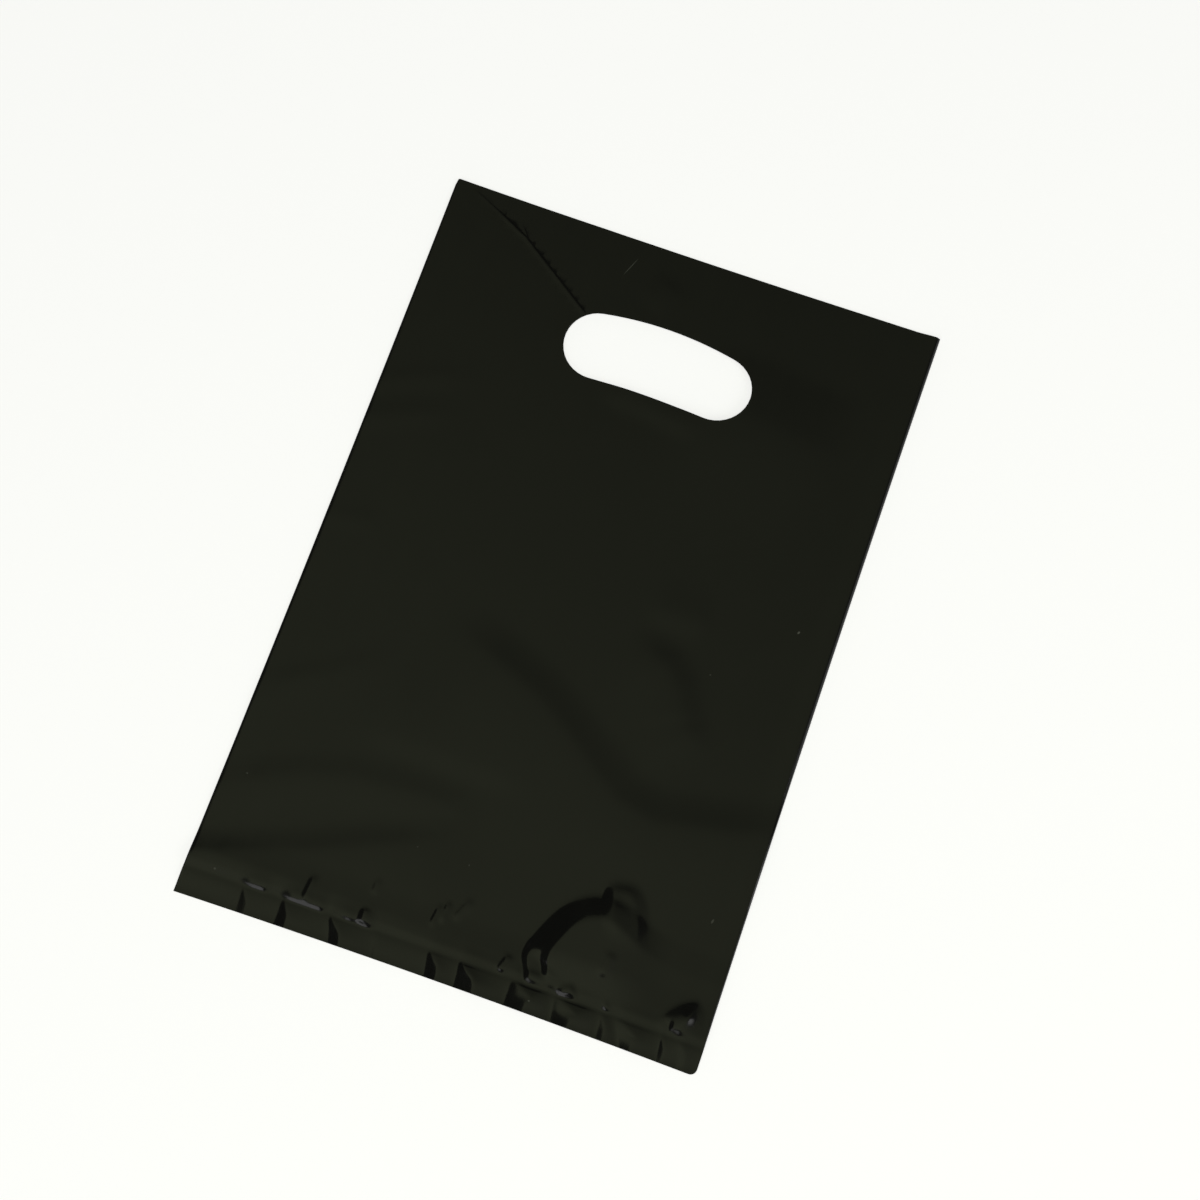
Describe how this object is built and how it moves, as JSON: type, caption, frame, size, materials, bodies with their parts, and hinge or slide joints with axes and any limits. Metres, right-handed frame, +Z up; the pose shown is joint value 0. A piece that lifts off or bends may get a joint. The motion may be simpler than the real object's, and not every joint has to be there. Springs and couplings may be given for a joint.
{
  "type": "plastic carrier bag",
  "caption": "Flat film carrier bag lying on its back, with a bean-shaped punched handle, an open mouth, side folds and a heat-sealed foot with a puckered skirt.",
  "frame": {"origin": "middle of the bag's outline, on the plane that its back wall lies on", "axes": "+X across the bag, +Y from the sealed foot to the open mouth, +Z up out of the front wall"},
  "size_m": [0.201, 0.301, 0.003],
  "materials": {
    "black_film": "glossy opaque black polyethylene film, lightly creased and rubbed"
  },
  "bodies": {
    "root": {"bag": "black_film"}
  },
  "joints": []
}
